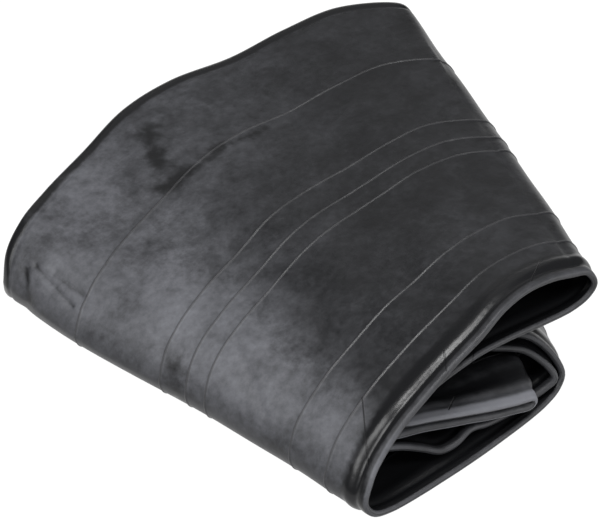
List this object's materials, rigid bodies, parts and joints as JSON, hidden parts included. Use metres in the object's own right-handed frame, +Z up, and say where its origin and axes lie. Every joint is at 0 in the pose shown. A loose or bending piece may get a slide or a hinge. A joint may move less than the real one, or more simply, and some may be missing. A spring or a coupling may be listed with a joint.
{
  "type": "inner tube",
  "caption": "Deflated rubber inner tube folded into a flat layered pack, with a bent rubber valve inside the fold: threaded stem, sprung valve core and screw-on dust cap.",
  "frame": {"origin": "middle of the outline seen from above, on the face that the pack rests on", "axes": "+Z up, out of the resting face; +Y from the open folds at the front to the long back edge; +X from the big left fold to the right folds"},
  "size_m": [0.2682, 0.2722, 0.0686],
  "materials": {
    "butyl_rubber": "matt black with a grey talc bloom",
    "seal_rubber": "matt",
    "gasket_red": "satin",
    "brass": "turned",
    "steel": "bright",
    "cap_plastic": "satin"
  },
  "bodies": {
    "pack": {"tube": "butyl_rubber", "valve_patch": "butyl_rubber", "valve_body": "butyl_rubber", "stem_insert": "brass", "core_plug": "brass", "core_gasket": "gasket_red", "core_barrel": "brass", "core_spring": "steel"},
    "pin": {"core_pin": "steel", "core_cup": "brass", "core_seal": "seal_rubber"},
    "cap_carriage": {"cap_seal": "seal_rubber"},
    "cap": {"cap_shell": "cap_plastic"}
  },
  "joints": [
    {"name": "pin_press", "type": "slide", "parent": "pack", "child": "pin", "axis": [0, -1, 0], "range_m": [0, 0.0012], "stiffness_N_per_m": 2000, "springref_m": -0.001, "deforming": ["core_spring"]},
    {"name": "cap_lift", "type": "slide", "parent": "pack", "child": "cap_carriage", "axis": [0, 1, 0], "range_m": [0, 0.0095]},
    {"name": "cap_turn", "type": "hinge", "parent": "cap_carriage", "child": "cap", "pos_m": [-0.08643, 0.08968, 0.0177], "axis": [0, 1, 0], "range_deg": [0, 4320]}
  ],
  "couplings": [
    {"joint": "cap_turn", "follows": "cap_lift", "rad_per_m": 7913.3}
  ]
}
